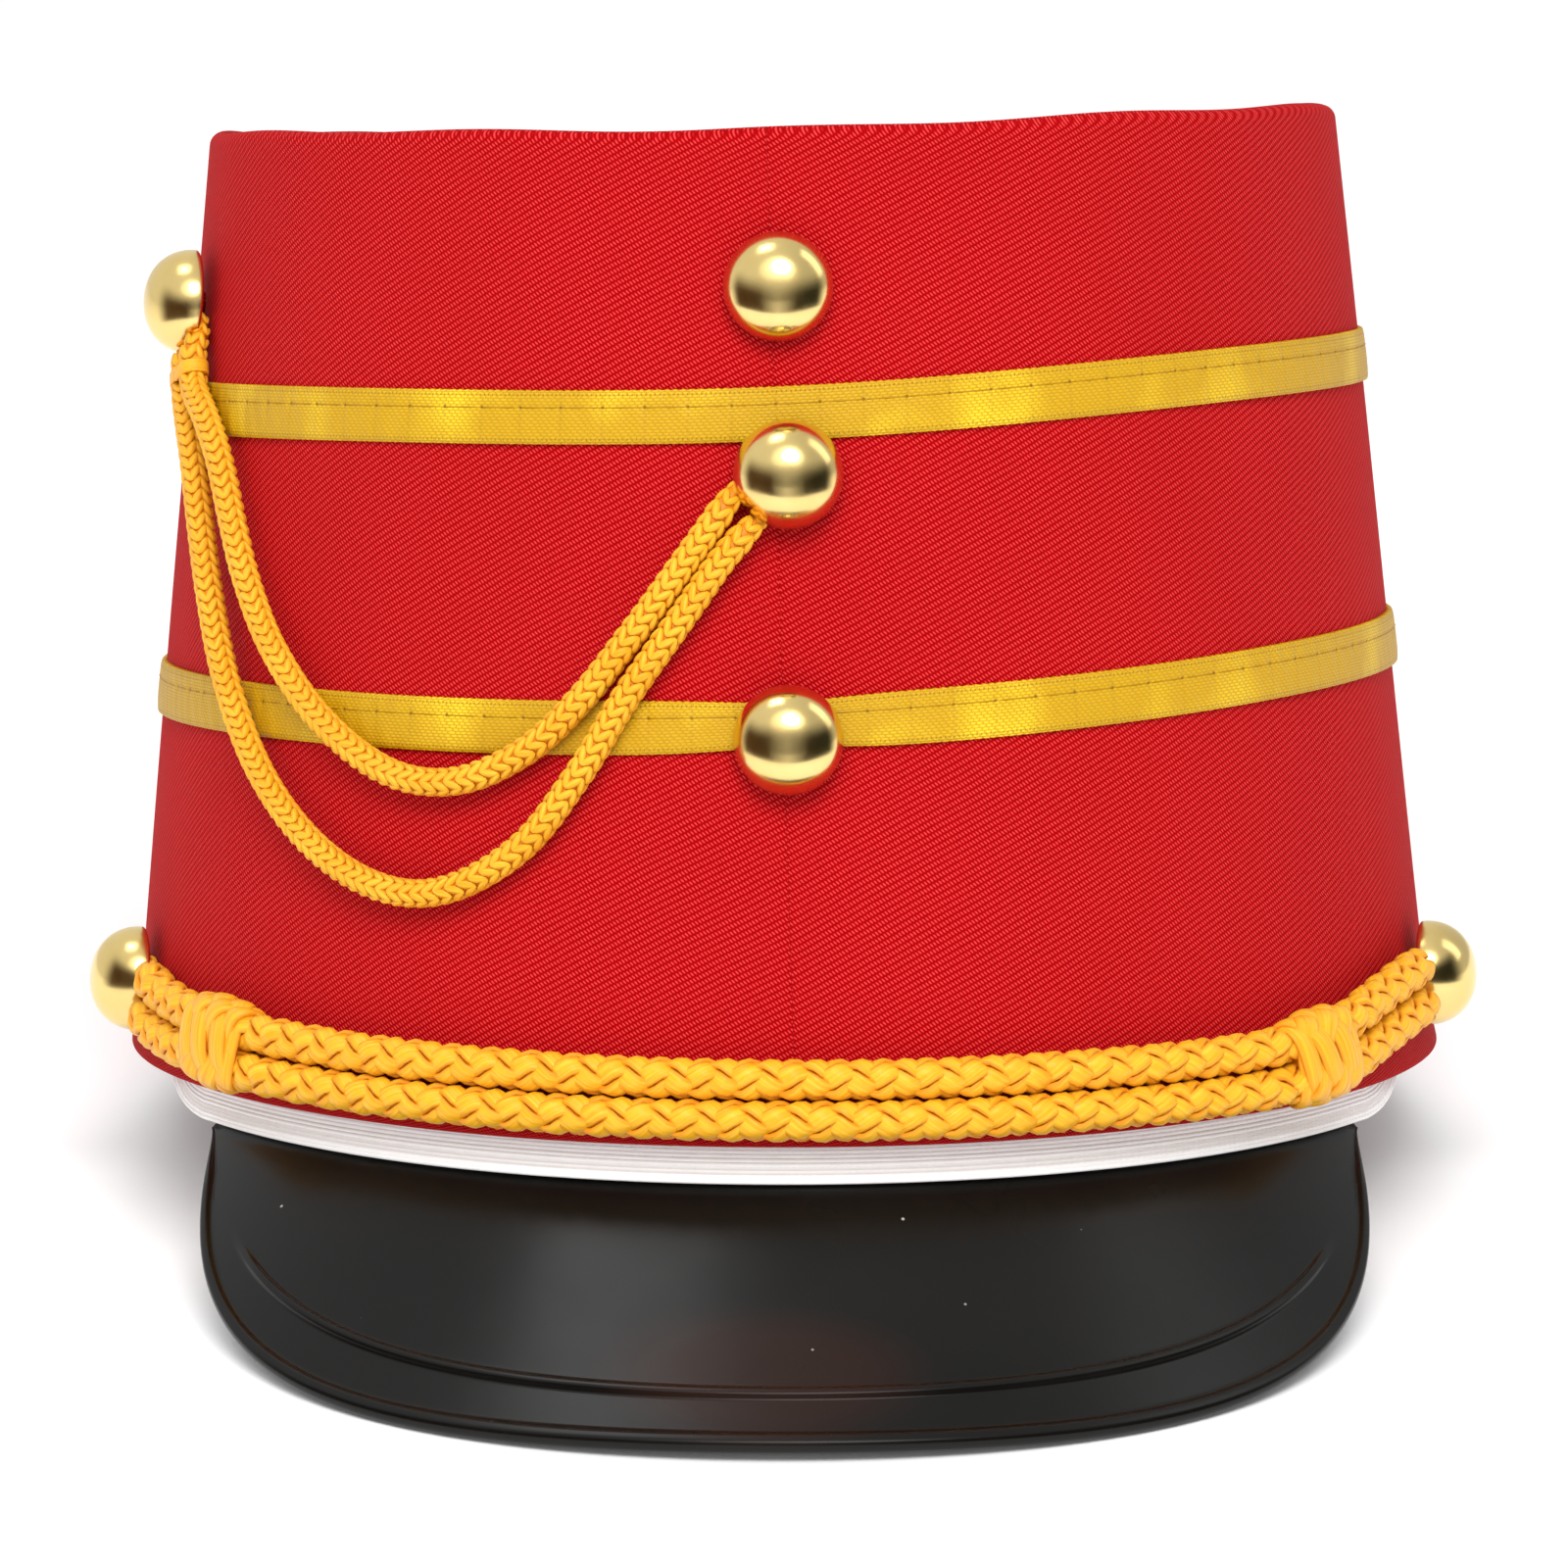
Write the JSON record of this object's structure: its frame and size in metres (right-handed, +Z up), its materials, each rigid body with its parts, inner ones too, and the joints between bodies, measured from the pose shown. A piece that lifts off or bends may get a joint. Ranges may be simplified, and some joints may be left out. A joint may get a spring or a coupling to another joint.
{
  "type": "shako hat",
  "caption": "Band-style shako: tapered cloth crown with flat top, two ribbons, dome buttons, hanging cords, braided cap cord and glossy peak.",
  "frame": {"origin": "on the surface that the hat stands on, under the middle of its outline in plan", "axes": "+Z up, -Y towards the front of the peak, +X towards the wearer's left"},
  "size_m": [0.1876, 0.2268, 0.1554],
  "materials": {
    "red_twill": "woven polyester twill, soft sheen",
    "yellow_satin": "satin ribbon, glossy along the band",
    "gold_braid": "braided flat satin filament",
    "gold_knit": "knitted rayon cord",
    "white_elastic": "ribbed white elastic",
    "black_plastic": "moulded, high gloss",
    "gilt": "polished pale gold plating"
  },
  "bodies": {
    "root": {"crown_wall": "red_twill", "crown_tip": "red_twill", "ribbon_upper": "yellow_satin", "ribbon_lower": "yellow_satin", "peak": "black_plastic", "chin_elastic": "white_elastic", "cap_cord_upper": "gold_braid", "cap_cord_lower": "gold_braid", "knot_left": "gold_braid", "knot_right": "gold_braid", "button_front_top": "gilt", "button_front_middle": "gilt", "button_front_lower": "gilt", "button_swag": "gilt", "button_left": "gilt", "button_right": "gilt", "swag_cord_inner": "gold_knit", "swag_cord_outer": "gold_knit", "swag_binding": "gold_knit"}
  },
  "joints": []
}
